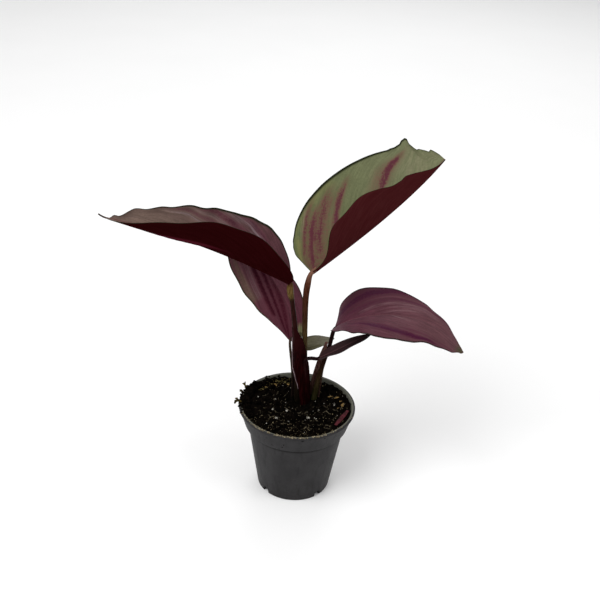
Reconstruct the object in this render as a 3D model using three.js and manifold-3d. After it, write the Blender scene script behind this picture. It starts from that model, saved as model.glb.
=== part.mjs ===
// A young silver plate calathea, a prayer plant, growing in a small round nursery pot.
// Millimetres, +Z up. The origin is under the middle of the pot, and -Y is the side it is seen from.

import * as THREE from "three";
import { mergeVertices } from "three/addons/utils/BufferGeometryUtils.js";
import Module from "manifold-3d";

const wasm = await Module();
wasm.setup();

// Pot sizes
const POT_HEIGHT = 44;
const FLOOR_RADIUS = 17.6;
const WALL_TOP_RADIUS = 22.9;
const BAND_BOTTOM_RADIUS = 24.6;
const BAND_TOP_RADIUS = 26.9;
const LIP_RADIUS = 27.5;
const BAND_BOTTOM = 34.2;
const LIP_HEIGHT = 1.4;
const WALL = 0.9;
const FLOOR = 1.2;
// The band's inside runs straight between these two heights.
const INSIDE_LOW = BAND_BOTTOM + WALL + 0.3;
const INSIDE_HIGH = POT_HEIGHT - 0.4;
const DRAIN_HOLES = 4;
const DRAIN_RADIUS = 1.7;
const DRAIN_HEIGHT = 1.1;
const DRAIN_SLANT = 30;
const FIRST_DRAIN_ANGLE = -137;
const POT_SIDES = 48;

// Soil sizes
const SOIL_MIDDLE = 41;
const SOIL_RISE = 2.1;
const SOIL_RINGS = [23.8, 21.8, 19.4, 16.8, 14, 11, 8, 5, 2.4, 0.8];
const SOIL_SIDES = 40;
const CRUMBS = 64;
const CRUMB_SIZES = [0.7, 1.6];
const SEAT_GAP = 0.3;

// Where crumbs lie heaped over the rim, in degrees, and each crumb's radius, height and size there
const HEAP_ANGLES = [155, 165, 183];
const HEAP = [[24.2, 43.6, 1.8], [25.5, 45, 1.4], [26.9, 45.7, 1.2], [28.2, 45.5, 1]];

// Stem and blade sizes that all leaves share
const ROOTED_DEPTH = 7;
const STEM_SIDES = 8;
const BLADE_THICKNESS = 0.6;
const NARROWEST_HALF = 0.7;

// Each blade's midrib is a Bezier curve through space. Its upper face looks to face, which is up where
// it isn't given, and roll turns the blade about the midrib, in degrees, from base to tip. width holds
// the two half widths, left and right of someone who looks along the midrib, and shape the powers of
// each half's outline. fold is each half's lift at the midrib and curl its further lift at the margin,
// in degrees at base, middle and tip. wave is each margin's ripple: its height, its number of waves and
// its phase. steps are the cells along the blade and across each half.
const LEAVES = {
  left: {
    midrib: [[-6, 5, 106], [-26, 4, 116], [-51, 11, 123.5], [-91, 6.5, 133]],
    roll: [-7, -21],
    width: [27.5, 28.5],
    shape: [[0.52, 1], [0.6, 1.3]],
    fold: [[37, 57, 32], [-18, -19, 6]],
    curl: [[8, 21, 3], [61, 55, 60]],
    wave: [[0.5, 4, 40], [0.8, 9, 0]],
    steps: [40, 4],
    colour: 0x4a1f2b,
  },
  upper: {
    midrib: [[3.5, 6.5, 111], [14, 16, 115.5], [43, 24.5, 136.5], [60, 32, 158]],
    roll: [2, 8],
    width: [31.5, 27.5],
    shape: [[0.48, 0.52], [0.56, 0.7]],
    fold: [[7, 18, 14], [35, 53, 36]],
    curl: [[16, 33, 28], [16, 31, 17]],
    wave: [[0.5, 7, 20], [0.9, 3.5, 120]],
    peak: { half: 0, at: 0.915, rise: 5.5, before: 0.09, after: 0.03 },
    steps: [40, 4],
    colour: 0x78825a,
  },
  back: {
    midrib: [[-4.8, 15.5, 69], [-1, 22.5, 88], [-24, 27.5, 104], [-33, 37, 119.5]],
    face: [0.3, -1, 0.5],
    roll: [-6, -3],
    width: [16, 10],
    shape: [[0.8, 0.6], [0.6, 0.7]],
    fold: [[4, 10, 14], [5, 24, 12]],
    curl: [[10, 19, 21], [10, 30, 15]],
    wave: [[0.4, 5, 0], [0.4, 4, 90]],
    steps: [24, 4],
    colour: 0x55303c,
  },
  right: {
    midrib: [[15.2, 5.3, 82.8], [19, 5, 90.5], [57, 4.5, 102.5], [74.2, -1.6, 78.2]],
    roll: [-16, 5],
    width: [21, 19],
    shape: [[0.32, 0.86], [0.56, 0.56]],
    fold: [[9, 19, -4], [8, 1, 7]],
    curl: [[-2, 0, -12], [6, -17, -13]],
    wave: [[0.3, 4, 0], [0.7, 5.5, 60]],
    steps: [30, 4],
    colour: 0x552f40,
  },
  small_front: {
    midrib: [[8.6, 2.2, 68.6], [11.5, 2.4, 69.5], [21, -2, 79], [32, 3.2, 82.5]],
    roll: [17, 15],
    width: [3.1, 7.2],
    shape: [[0.75, 0.75], [0.75, 0.7]],
    fold: [[30, 29, 30], [29, 26, 32]],
    curl: [[15, 14, 15], [12, 9, 14]],
    wave: [[0.1, 3, 0], [0.25, 3, 0]],
    steps: [14, 3],
    colour: 0x3c2c34,
  },
  small_back: {
    midrib: [[0, 14.5, 67], [4.5, 15.5, 69], [9.5, 16.5, 69.5], [16, 18.5, 70]],
    roll: [5, -8],
    width: [4.7, 5.7],
    shape: [[0.54, 0.74], [0.53, 0.72]],
    fold: [[11, 10, 5], [-3, -1, 3]],
    curl: [[1, 0, -4], [-3, -1, 2]],
    wave: [[0.1, 2, 0], [0.1, 2, 90]],
    steps: [10, 2],
    colour: 0x6e7058,
  },
};

// Each petiole's points start at the soil and carry the stem's radius there.
const PETIOLES = {
  left: [[0.3, 8.5, 40, 1.7], [-0.6, 8, 57.8, 1.55], [-2, 7.2, 72, 1.5], [-3.9, 6.3, 86, 1.35],
    [-5.4, 5.5, 96, 1.2], [-5.9, 5.1, 100, 1.55], [-5.9, 5, 103.5, 1.5], [-5.7, 5, 105.3, 1]],
  upper: [[3.9, 8.9, 40, 1.5], [2.8, 8.5, 57.7, 1.3], [2.2, 8, 71.9, 1.1], [1.8, 7.6, 85.6, 0.95],
    [1.4, 7.2, 97.8, 1.15], [1.9, 6.6, 104.6, 1.4], [3.1, 6.1, 110.4, 1]],
  back: [[-1.8, 13.5, 40, 0.75], [-3.4, 14.6, 56, 0.65], [-4.9, 15.3, 68.5, 0.6]],
  right: [[7.8, 9, 40.5, 1.5], [9.4, 8.2, 52.7, 1.25], [11.5, 7, 63.7, 1], [13.6, 6, 73.3, 0.95],
    [15.1, 5.2, 82.3, 0.9]],
  small_front: [[3.3, 5.2, 41, 0.75], [3, 5, 56, 0.7], [2.7, 4.2, 63.5, 0.75], [3.3, 2.9, 67.4, 0.85],
    [5.4, 2.1, 68.5, 0.85], [8.1, 2.1, 68.4, 0.8]],
  small_back: [[1.6, 12.6, 40, 0.65], [0.8, 12.9, 56, 0.6], [-0.4, 13.7, 64.6, 0.65],
    [-0.7, 14.3, 66.4, 0.6]],
};

// The sheaths are the papery wings of a petiole's foot. They are thin blades that wrap what is inside.
const SHEATHS = {
  main: {
    midrib: [[2, 11.1, 36], [1.5, 11.1, 47], [0.6, 10.6, 62], [-0.3, 9.9, 78]],
    face: [0, -1, 0],
    roll: [0, 0],
    width: [5, 2],
    shape: [[0.15, 0.6], [0.15, 0.6]],
    fold: [[0, 0, 0], [0, 0, 0]],
    curl: [[35, 35, 30], [20, 20, 20]],
    wave: [[0, 1, 0], [0, 1, 0]],
    steps: [12, 4],
    colour: 0x3d1f24,
  },
  right: {
    midrib: [[7.9, 11.3, 36], [8.5, 10.8, 50], [10.3, 9.3, 62], [12.2, 7.5, 74.5]],
    face: [0, -1, 0],
    roll: [0, 0],
    width: [3.2, 2.6],
    shape: [[0.15, 0.6], [0.15, 0.6]],
    fold: [[0, 0, 0], [0, 0, 0]],
    curl: [[20, 30, 30], [60, 60, 40]],
    wave: [[0, 1, 0], [0, 1, 0]],
    steps: [10, 4],
    colour: 0x5b4a52,
  },
};

// A fallen scrap of leaf lies on the soil near the rim.
const SCRAP = {
  midrib: [[18.2, -14.4, 43.3], [20.2, -10.5, 43.4], [22.2, -6.5, 43.4], [24, -2.7, 43.5]],
  roll: [0, 0],
  width: [1.6, 1.5],
  shape: [[0.4, 0.5], [0.4, 0.5]],
  fold: [[0, 0, 0], [0, 0, 0]],
  curl: [[10, 10, 10], [10, 10, 10]],
  wave: [[0.1, 2, 0], [0.1, 2, 90]],
  steps: [8, 2],
  colour: 0x7a2438,
};

// The seeded draws place crumbs the same way each time.
const DRAW_STEP = 16807;
const DRAW_RANGE = 2147483647;
let drawState = 2024;
function draw(low, high) {
  drawState = (drawState * DRAW_STEP) % DRAW_RANGE;
  return low + ((high - low) * drawState) / DRAW_RANGE;
}

function radians(degrees) {
  return (degrees * Math.PI) / 180;
}

// A value that goes through three given ones, at base, middle and tip.
function along([base, middle, tip], s) {
  return base * (1 - s) * (1 - 2 * s) + 4 * middle * s * (1 - s) + tip * s * (2 * s - 1);
}

// A closed skin over rings of points that all have the same even count. The second half of each ring
// runs back beside the first, and its faces are split to mirror the first half's.
function loft(rings) {
  const count = rings[0].length;
  const half = count / 2;
  const index = [];
  for (let i = 0; i + 1 < rings.length; i++) {
    for (let j = 0; j < count; j++) {
      const a = i * count + j;
      const b = i * count + ((j + 1) % count);
      const c = a + count;
      const d = b + count;
      index.push(...(j < half ? [a, b, d, a, d, c] : [a, b, c, b, d, c]));
    }
  }
  const last = (rings.length - 1) * count;
  for (let j = 0; j + 1 < half; j++) {
    const across = count - 1 - j;
    index.push(j, across, j + 1, across, across - 1, j + 1);
    index.push(last + j, last + j + 1, last + across, last + across, last + j + 1, last + across - 1);
  }
  const geometry = new THREE.BufferGeometry().setFromPoints(rings.flat());
  geometry.setIndex(index);
  return geometry;
}

function solid(geometry) {
  geometry.deleteAttribute("normal");
  geometry.deleteAttribute("uv");
  const merged = mergeVertices(geometry, 1e-4);
  return new wasm.Manifold(
    new wasm.Mesh({
      numProp: 3,
      vertProperties: merged.attributes.position.array,
      triVerts: new Uint32Array(merged.index.array),
    }),
  );
}

function geometryOf(body) {
  const mesh = body.getMesh();
  const geometry = new THREE.BufferGeometry();
  geometry.setAttribute("position", new THREE.BufferAttribute(mesh.vertProperties, 3));
  geometry.setIndex(new THREE.BufferAttribute(mesh.triVerts, 1));
  return geometry.toNonIndexed();
}

function material(colour, roughness) {
  return new THREE.MeshStandardMaterial({ color: colour, roughness, metalness: 0 });
}

function named(name, geometry, finish) {
  geometry.computeVertexNormals();
  const mesh = new THREE.Mesh(geometry, finish);
  mesh.name = name;
  return mesh;
}

// Half width of a blade, from a power curve that is 1 at its widest place
function halfWidth(leaf, half, s) {
  const [rise, fall] = leaf.shape[half];
  const widest = rise / (rise + fall);
  let width = leaf.width[half] * (s / widest) ** rise * ((1 - s) / (1 - widest)) ** fall;
  const peak = leaf.peak;
  if (peak && peak.half === half) {
    const away = s < peak.at ? (peak.at - s) / peak.before : (s - peak.at) / peak.after;
    width += peak.rise * Math.max(0, 1 - away) ** 1.5;
  }
  return Math.max(width, NARROWEST_HALF);
}

// The points of a blade's middle surface at one place along its midrib, from left margin to right
function bladeLine(leaf, curve, s) {
  const middle = curve.getPoint(s);
  const ahead = curve.getTangent(s);
  const up = new THREE.Vector3(...(leaf.face ?? [0, 0, 1])).projectOnPlane(ahead).normalize();
  const turn = radians(THREE.MathUtils.lerp(leaf.roll[0], leaf.roll[1], s));
  const face = up.applyAxisAngle(ahead, turn);
  const side = new THREE.Vector3().crossVectors(ahead, face);
  const cells = leaf.steps[1];
  const halves = [-1, 1].map((sign, half) => {
    const fold = radians(along(leaf.fold[half], s));
    const curl = radians(along(leaf.curl[half], s));
    const [height, waves, phase] = leaf.wave[half];
    const cell = halfWidth(leaf, half, s) / cells;
    const swell = height * Math.sqrt(Math.sin(Math.PI * s));
    const ripple = swell * Math.sin(2 * Math.PI * waves * s + radians(phase));
    const at = middle.clone();
    const points = [];
    for (let j = 1; j <= cells; j++) {
      const lift = fold + (curl * (j - 0.5)) / cells;
      at.addScaledVector(side, sign * cell * Math.cos(lift));
      at.addScaledVector(face, cell * Math.sin(lift));
      const rim = fold + (curl * j) / cells;
      const out = ripple * (j / cells) ** 3;
      const point = at.clone();
      point.addScaledVector(side, -sign * out * Math.sin(rim));
      points.push(point.addScaledVector(face, out * Math.cos(rim)));
    }
    return points;
  });
  return [...halves[0].reverse(), middle, ...halves[1]];
}

// A blade is its middle surface, given a thickness along the normal at each point.
function blade(leaf, thickness = BLADE_THICKNESS) {
  const curve = new THREE.CubicBezierCurve3(...leaf.midrib.map((p) => new THREE.Vector3(...p)));
  const steps = leaf.steps[0];
  const lines = Array.from({ length: steps + 1 }, (_, i) => {
    const s = THREE.MathUtils.clamp(i / steps, 1e-3, 1 - 1e-3);
    return bladeLine(leaf, curve, s);
  });
  const rings = lines.map((line, i) => {
    const normals = line.map((_, j) => {
      const ahead = new THREE.Vector3().subVectors(
        lines[Math.min(i + 1, steps)][j],
        lines[Math.max(i - 1, 0)][j],
      );
      const across = new THREE.Vector3().subVectors(
        line[Math.min(j + 1, line.length - 1)],
        line[Math.max(j - 1, 0)],
      );
      return across.cross(ahead).normalize();
    });
    const upper = line.map((p, j) => p.clone().addScaledVector(normals[j], thickness / 2));
    const lower = line.map((p, j) => p.clone().addScaledVector(normals[j], -thickness / 2));
    return [...upper, ...lower.reverse()];
  });
  return loft(rings);
}

// A round stem whose radius follows its points. grow makes it fatter, for the hole that it stands in.
function stem(points, grow = 0) {
  const [x, y, z, radius] = points[0];
  const rooted = [[x, y, z - ROOTED_DEPTH - grow, radius], ...points];
  const curve = new THREE.CatmullRomCurve3(rooted.map((p) => new THREE.Vector3(p[0], p[1], p[2])));
  const steps = 3 * (rooted.length - 1);
  const frames = curve.computeFrenetFrames(steps, false);
  const rings = Array.from({ length: steps + 1 }, (_, i) => {
    const u = curve.getUtoTmapping(i / steps) * (rooted.length - 1);
    const before = Math.min(Math.floor(u), rooted.length - 2);
    const size = grow + THREE.MathUtils.lerp(rooted[before][3], rooted[before + 1][3], u - before);
    const middle = curve.getPointAt(i / steps);
    return Array.from({ length: STEM_SIDES }, (_, j) => {
      const turn = (2 * Math.PI * j) / STEM_SIDES;
      const point = middle.clone().addScaledVector(frames.normals[i], size * Math.cos(turn));
      return point.addScaledVector(frames.binormals[i], size * Math.sin(turn));
    });
  });
  return loft(rings);
}

// The pot's outline, from the middle of its underside up its outside, over the lip and down inside
function potGeometry() {
  const outline = [
    [0, 0],
    [FLOOR_RADIUS - 0.5, 0],
    [FLOOR_RADIUS, 0.6],
    [WALL_TOP_RADIUS, BAND_BOTTOM],
    [BAND_BOTTOM_RADIUS, BAND_BOTTOM + 0.3],
    [BAND_TOP_RADIUS, POT_HEIGHT - LIP_HEIGHT],
    [LIP_RADIUS, POT_HEIGHT - LIP_HEIGHT + 0.4],
    [LIP_RADIUS, POT_HEIGHT - 0.3],
    [LIP_RADIUS - 0.4, POT_HEIGHT],
    [BAND_TOP_RADIUS - WALL + 0.3, POT_HEIGHT],
    [BAND_TOP_RADIUS - WALL, INSIDE_HIGH],
    [BAND_BOTTOM_RADIUS - WALL, INSIDE_LOW],
    [WALL_TOP_RADIUS - WALL, BAND_BOTTOM + WALL - 0.2],
    [FLOOR_RADIUS - WALL + 0.2, FLOOR],
    [0, FLOOR],
  ];
  const points = outline.map(([r, z]) => new THREE.Vector2(r, z));
  return new THREE.LatheGeometry(points, POT_SIDES).rotateX(Math.PI / 2);
}

// The drain holes are cut through the corner of the wall and the floor.
function pot() {
  let body = solid(potGeometry());
  for (let i = 0; i < DRAIN_HOLES; i++) {
    const angle = radians(FIRST_DRAIN_ANGLE + (360 * i) / DRAIN_HOLES);
    const cutter = new THREE.CylinderGeometry(DRAIN_RADIUS, DRAIN_RADIUS, 8 * WALL, 10);
    cutter.rotateZ(-Math.PI / 2 + radians(DRAIN_SLANT));
    cutter.translate(FLOOR_RADIUS, 0, DRAIN_HEIGHT);
    cutter.rotateZ(angle);
    body = body.subtract(solid(cutter));
  }
  return geometryOf(body);
}

// The radius of the pot's inside at a height in its band
function bandInside(z) {
  const share = THREE.MathUtils.clamp((z - INSIDE_LOW) / (INSIDE_HIGH - INSIDE_LOW), 0, 1);
  return THREE.MathUtils.lerp(BAND_BOTTOM_RADIUS, BAND_TOP_RADIUS, share) - WALL;
}

// The height of the soil: it rises to the rim, most at the left, and is lower at the back and hollow
// round the stems.
function soilHeight(x, y) {
  const rise = SOIL_RISE * ((x * x + y * y) / bandInside(POT_HEIGHT) ** 2);
  const left = 0.6 * Math.exp(-((x + 25) ** 2 + (y - 6) ** 2) / 150);
  const back = 1.7 * Math.exp(-((x - 5) ** 2 + (y - 25) ** 2) / 90);
  const hollow = 1.3 * Math.exp(-((x + 1.5) ** 2 + (y - 5) ** 2) / 20);
  const broadLumps = 0.3 * Math.sin(0.9 * x + 1.3) * Math.cos(0.8 * y);
  const smallLumps = 0.25 * Math.sin(1.6 * x - 1.1 * y + 2);
  return SOIL_MIDDLE + rise + left - back - hollow + broadLumps + smallLumps;
}

function soilGeometry() {
  const inside = WALL + SEAT_GAP;
  const under = FLOOR + SEAT_GAP;
  const walls = [
    [1, under],
    [FLOOR_RADIUS - inside, under],
    [WALL_TOP_RADIUS - inside - 0.2, BAND_BOTTOM + WALL - 0.2],
    [BAND_BOTTOM_RADIUS - inside, BAND_BOTTOM + WALL + 0.6],
  ];
  const ring = (place) =>
    Array.from({ length: SOIL_SIDES }, (_, j) => {
      const angle = (2 * Math.PI * j) / SOIL_SIDES;
      return place(Math.cos(angle), Math.sin(angle));
    });
  const surfaceAt = (x, y) => new THREE.Vector3(x, y, soilHeight(x, y));
  const edge = ring((x, y) => {
    const top = bandInside(POT_HEIGHT);
    const height = soilHeight(top * x, top * y);
    const radius = bandInside(height) - SEAT_GAP;
    return new THREE.Vector3(radius * x, radius * y, height);
  });
  return loft([
    ...walls.map(([radius, z]) => ring((x, y) => new THREE.Vector3(radius * x, radius * y, z))),
    edge,
    ...SOIL_RINGS.map((radius) => ring((x, y) => surfaceAt(radius * x, radius * y))),
  ]);
}

// What the pot and its lip take up, with the seat gap round them
function potClearance() {
  const top = POT_HEIGHT + SEAT_GAP;
  const outside = LIP_RADIUS + SEAT_GAP;
  const outline = [
    [BAND_BOTTOM_RADIUS - WALL - SEAT_GAP, INSIDE_LOW],
    [outside, BAND_BOTTOM],
    [outside, top],
    [BAND_TOP_RADIUS - WALL - 0.1, top],
    [BAND_TOP_RADIUS - WALL - SEAT_GAP, INSIDE_HIGH],
    [BAND_BOTTOM_RADIUS - WALL - SEAT_GAP, INSIDE_LOW],
  ];
  const points = outline.map(([r, z]) => new THREE.Vector2(r, z));
  return new THREE.LatheGeometry(points, SOIL_SIDES).rotateX(Math.PI / 2);
}

function crumb(x, y, z, size) {
  const lump = new THREE.IcosahedronGeometry(size, 0);
  lump.scale(draw(0.8, 1.4), draw(0.6, 1), draw(0.6, 0.9));
  lump.rotateX(draw(0, 3));
  lump.rotateZ(draw(0, 3));
  lump.translate(x, y, z);
  return solid(lump);
}

function farFrom(x, y, places, distance) {
  return places.every(([px, py]) => Math.hypot(x - px, y - py) > distance);
}

// Crumbs sit half sunk in the soil. At the left a few heaps of them lie over the rim.
function soil(stems) {
  const feet = Object.values(stems).map(([foot]) => foot);
  let crumbs = crumb(-12, 0, soilHeight(-12, 0), 1);
  let placed = 0;
  while (placed < CRUMBS) {
    const radius = SOIL_RINGS[0] * Math.sqrt(draw(0, 1));
    const angle = draw(0, 2 * Math.PI);
    const x = radius * Math.cos(angle);
    const y = radius * Math.sin(angle);
    if (farFrom(x, y, feet, 3.4) && farFrom(x, y, SCRAP.midrib, 4)) {
      const size = draw(...CRUMB_SIZES);
      crumbs = crumbs.add(crumb(x, y, soilHeight(x, y) + 0.1 * size, size));
      placed += 1;
    }
  }
  for (const heap of HEAP_ANGLES) {
    for (const [radius, z, size] of HEAP) {
      const angle = radians(heap + draw(-1.5, 1.5));
      crumbs = crumbs.add(crumb(radius * Math.cos(angle), radius * Math.sin(angle), z, size));
    }
  }
  crumbs = crumbs.subtract(solid(potClearance()));
  let body = solid(soilGeometry()).add(crumbs);
  for (const points of Object.values(stems)) {
    body = body.subtract(solid(stem(points, SEAT_GAP)));
  }
  return body;
}

const plant = new THREE.Group();

plant.add(named("pot", pot(), material(0x8f929c, 0.55)));

let earth = soil(PETIOLES);
for (const sheath of Object.values(SHEATHS)) {
  const [[x, y, z], ...rest] = sheath.midrib;
  const wide = {
    ...sheath,
    midrib: [[x, y, z - SEAT_GAP], ...rest],
    width: sheath.width.map((w) => w + SEAT_GAP),
  };
  earth = earth.subtract(solid(blade(wide, BLADE_THICKNESS + 2 * SEAT_GAP)));
}
const lumps = earth.decompose().sort((a, b) => b.volume() - a.volume());
plant.add(named("soil", geometryOf(lumps[0]), material(0x17120f, 0.95)));

for (const [name, leaf] of Object.entries(LEAVES)) {
  plant.add(named("blade_" + name, blade(leaf), material(leaf.colour, 0.45)));
}
for (const [name, points] of Object.entries(PETIOLES)) {
  plant.add(named("petiole_" + name, stem(points), material(0x3b201c, 0.5)));
}
for (const [name, sheath] of Object.entries(SHEATHS)) {
  plant.add(named("sheath_" + name, blade(sheath), material(sheath.colour, 0.5)));
}
plant.add(named("leaf_scrap", blade(SCRAP), material(SCRAP.colour, 0.5)));

export default plant;
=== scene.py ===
# A young silver plate calathea in a small nursery pot. It is put together here as it grows: the pot, the
# soil and what lies in it, then stems, leaves and sheaths. Points are in millimetres until a piece is made.
import math

import bmesh
import bpy
import numpy as np
from mathutils import Matrix, Vector, noise


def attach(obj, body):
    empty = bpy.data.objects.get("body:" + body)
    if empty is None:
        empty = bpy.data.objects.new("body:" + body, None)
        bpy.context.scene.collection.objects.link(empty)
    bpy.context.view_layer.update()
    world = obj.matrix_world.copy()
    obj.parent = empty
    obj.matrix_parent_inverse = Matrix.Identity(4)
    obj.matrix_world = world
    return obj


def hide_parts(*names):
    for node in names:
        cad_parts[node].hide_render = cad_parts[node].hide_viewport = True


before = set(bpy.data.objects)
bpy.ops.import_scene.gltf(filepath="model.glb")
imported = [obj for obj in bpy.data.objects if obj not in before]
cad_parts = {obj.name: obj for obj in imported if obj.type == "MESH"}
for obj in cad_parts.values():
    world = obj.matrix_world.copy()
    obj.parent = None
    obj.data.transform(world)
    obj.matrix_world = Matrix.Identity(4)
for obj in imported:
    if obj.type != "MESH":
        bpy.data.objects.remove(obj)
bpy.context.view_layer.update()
MM = 0.001


# The view. The camera stands in front of the pot and a little above the leaves, looking down at them,
# and it is turned a few degrees, as the one that took the photograph was. Its place is in metres.
CAMERA_PLACE = Vector((-0.0012, -0.393731, 0.317990))
LOOKING_DOWN = math.radians(28.96)
LEANING = math.radians(3.03)
LENS = 60.6
SENSOR = 36

ahead = Vector((0, math.cos(LOOKING_DOWN), -math.sin(LOOKING_DOWN)))
level = Vector((1, 0, 0))
upright = level.cross(ahead)
across_view = level * math.cos(LEANING) + upright * math.sin(LEANING)
up_view = upright * math.cos(LEANING) - level * math.sin(LEANING)
camera = bpy.data.objects.new("camera", bpy.data.cameras.new("camera"))
camera.data.lens = LENS
camera.data.sensor_width = SENSOR
turned = Matrix((across_view, up_view, -ahead)).transposed().to_4x4()
camera.matrix_world = Matrix.Translation(CAMERA_PLACE) @ turned
bpy.context.collection.objects.link(camera)
bpy.context.scene.camera = camera


# The studio. The pot stands on a plain white surface, under a broad soft light from the upper left and
# weaker ones from the right and behind, in a white room. A light has its place, width in metres and power.
FLOOR_SIDE = 6
FLOOR_WHITES = ((0.9, 0.9, 0.9, 1), (0.93, 0.93, 0.93, 1))
ROOM_LIGHT = 0.55
LIT_POINT = Vector((0, 0, 0.08))
SOFT_LIGHTS = {
    "window_left": ((-0.55, -0.5, 0.95), 0.9, 9.5),
    "window_right": ((0.75, -0.3, 0.7), 0.7, 2.5),
    "window_back": ((0.1, 0.9, 0.8), 0.8, 3.0),
}


def finish(name, roughness, gloss):
    """A new material."""
    made = bpy.data.materials.new(name)
    made.use_nodes = True
    shader = made.node_tree.nodes["Principled BSDF"]
    shader.inputs["Roughness"].default_value = roughness
    shader.inputs["Specular IOR Level"].default_value = gloss
    return made


def shade(beside, kind, feeds, out=0, **settings):
    """Adds a shader node to a material, or beside one of its outputs, and returns the new node's output.

    feeds are values or other outputs.
    """
    tree = beside.id_data if isinstance(beside, bpy.types.NodeSocket) else beside.node_tree
    node = tree.nodes.new("ShaderNode" + kind)
    for name, value in settings.items():
        setattr(node, name, value)
    for place, value in feeds.items():
        if isinstance(value, bpy.types.NodeSocket):
            tree.links.new(value, node.inputs[place])
        else:
            node.inputs[place].default_value = value
    return node.outputs[out]


def give(made, socket, value):
    """Feeds the material's shader."""
    made.node_tree.links.new(value, made.node_tree.nodes["Principled BSDF"].inputs[socket])


def in_millimetres(made):
    where = shade(made, "TexCoord", {}, out="Object")
    return shade(where, "VectorMath", {0: where, "Scale": 1 / MM}, operation="SCALE")


def grain(where, scale, detail=3.0, roughness=0.5):
    feeds = {"Vector": where, "Scale": scale, "Detail": detail, "Roughness": roughness}
    return shade(where, "TexNoise", feeds)


def mixed(share, first, second):
    return shade(share, "Mix", {0: share, 6: first, 7: second}, out=2, data_type="RGBA")


reach = FLOOR_SIDE / 2
floor_corners = [(-reach, -reach, 0), (reach, -reach, 0), (reach, reach, 0), (-reach, reach, 0)]
floor_mesh = bpy.data.meshes.new("floor")
floor_mesh.from_pydata(floor_corners, [], [(0, 1, 2, 3)])
floor = bpy.data.objects.new("floor", floor_mesh)
bpy.context.collection.objects.link(floor)
white = finish("white_surface", roughness=0.9, gloss=0.2)
give(white, "Base Color", mixed(grain(in_millimetres(white), 0.01), *FLOOR_WHITES))
floor_mesh.materials.append(white)

room = bpy.data.worlds.new("white_room")
room.use_nodes = True
background = room.node_tree.nodes["Background"]
background.inputs["Color"].default_value = (1, 1, 1, 1)
background.inputs["Strength"].default_value = ROOM_LIGHT
bpy.context.scene.world = room
bpy.context.scene.view_settings.view_transform = "Standard"
for name, (place, side, power) in SOFT_LIGHTS.items():
    lamp = bpy.data.lights.new(name, "AREA")
    lamp.shape = "DISK"
    lamp.size = side
    lamp.energy = power
    holder = bpy.data.objects.new(name, lamp)
    holder.location = place
    holder.rotation_euler = (LIT_POINT - holder.location).to_track_quat("-Z", "Y").to_euler()
    bpy.context.collection.objects.link(holder)


# The pot is one thin cup of grey, slightly soft plastic, pressed in a mould. It has a rolled lip over a
# wider band, a tapered wall, and four drain holes through the corner of its wall and floor.
POT_HEIGHT = 44
FLOOR_RADIUS = 17.6
WALL_TOP_RADIUS = 22.9
BAND_BOTTOM_RADIUS = 24.6
BAND_TOP_RADIUS = 26.9
LIP_RADIUS = 27.5
BAND_BOTTOM = 34.2
LIP_HEIGHT = 1.4
WALL = 0.9
FLOOR = 1.2
INSIDE_LOW = BAND_BOTTOM + WALL + 0.3
INSIDE_HIGH = POT_HEIGHT - 0.4
DRAIN_HOLES = 4
DRAIN_RADIUS = 1.7
DRAIN_HEIGHT = 1.1
DRAIN_SLANT = 30
FIRST_DRAIN_ANGLE = -137
POT_SIDES = 160
CORNER_POINTS = 5
PUNCH_SIDES = 24
PUNCH_LENGTH = 8 * WALL
WELDED_WITHIN = 1e-7
SHARP_EDGE = 50
GRIMY_HEIGHTS = (1.0, 17.0)
SHADED_HEIGHTS = (31.4, 33.2)
INSIDE_HEIGHTS = (35.0, 36.0)
# Radius, height and how far the corner is rounded, from the underside's middle round the lip to inside
POT_OUTLINE = [
    (0, 0, 0),
    (FLOOR_RADIUS - 0.3, 0, 0.6),
    (WALL_TOP_RADIUS, BAND_BOTTOM, 0.25),
    (BAND_BOTTOM_RADIUS - 0.2, BAND_BOTTOM + 0.1, 0.5),
    (BAND_TOP_RADIUS, POT_HEIGHT - LIP_HEIGHT, 0.3),
    (LIP_RADIUS, POT_HEIGHT - LIP_HEIGHT + 0.1, 0.35),
    (LIP_RADIUS, POT_HEIGHT, 0.5),
    (BAND_TOP_RADIUS - WALL, POT_HEIGHT, 0.4),
    (BAND_BOTTOM_RADIUS - WALL, INSIDE_LOW, 0.5),
    (WALL_TOP_RADIUS - WALL, BAND_BOTTOM + WALL - 0.2, 0.5),
    (FLOOR_RADIUS - WALL + 0.2, FLOOR, 0.5),
    (0, FLOOR, 0),
]


def paint(red, green, blue):
    """A colour from 0 to 255 each, as on a paint chart, in linear light."""
    shares = [c / 255 for c in (red, green, blue)]
    return (*(c / 12.92 if c < 0.04 else ((c + 0.055) / 1.055) ** 2.4 for c in shares), 1)


POT_GREYS = (paint(44, 43, 44), paint(50, 49, 50))
STREAK_GREY = paint(41, 40, 41)
GRIME = paint(34, 30, 28)
# The colour of the painted shade, with some dirt, under the band's ledge
SHADE_AND_DIRT_UNDER_BAND = paint(20, 19, 19)
INSIDE_GREY = paint(94, 94, 84)


def rounded(outline):
    """The outline with each corner turned into an arc that starts and ends its given distance off."""
    line = [np.array(outline[0][:2], float)]
    for before, (x, y, reach), after in zip(outline, outline[1:], outline[2:]):
        corner = np.array((x, y), float)
        back = np.array(before[:2], float) - corner
        on = np.array(after[:2], float) - corner
        start = corner + back / np.linalg.norm(back) * reach
        end = corner + on / np.linalg.norm(on) * reach
        for t in np.linspace(0, 1, CORNER_POINTS):
            line.append(start * (1 - t) ** 2 + 2 * corner * t * (1 - t) + end * t * t)
    line.append(np.array(outline[-1][:2], float))
    return np.array(line)


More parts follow.
